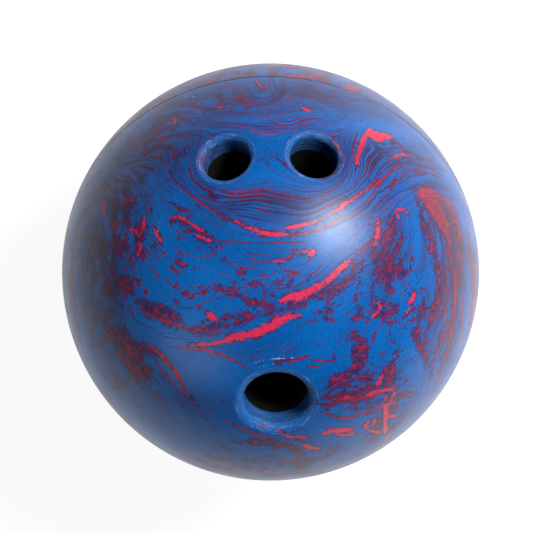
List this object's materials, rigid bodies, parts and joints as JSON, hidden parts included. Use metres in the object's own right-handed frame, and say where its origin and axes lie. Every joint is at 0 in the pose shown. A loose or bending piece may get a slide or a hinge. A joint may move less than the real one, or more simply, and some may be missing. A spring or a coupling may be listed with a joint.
{
  "type": "bowling ball",
  "caption": "Drilled hard-rubber bowling ball with a marbled blue and red cover, two finger holes and a thumb hole, a rubber-and-cork core and a weight block.",
  "frame": {"origin": "centre of the ball", "axes": "+Z out through the centre of the grip, midway between the thumb hole and the pair of finger holes; +Y towards the finger holes; -Y towards the thumb hole"},
  "size_m": [0.2172, 0.2172, 0.2172],
  "materials": {
    "cover": "satin",
    "core": "matte",
    "weight_block": "matte"
  },
  "bodies": {
    "root": {"drilled_cover_half": "cover", "plain_cover_half": "cover", "weight_block": "weight_block", "core": "core"}
  },
  "joints": []
}
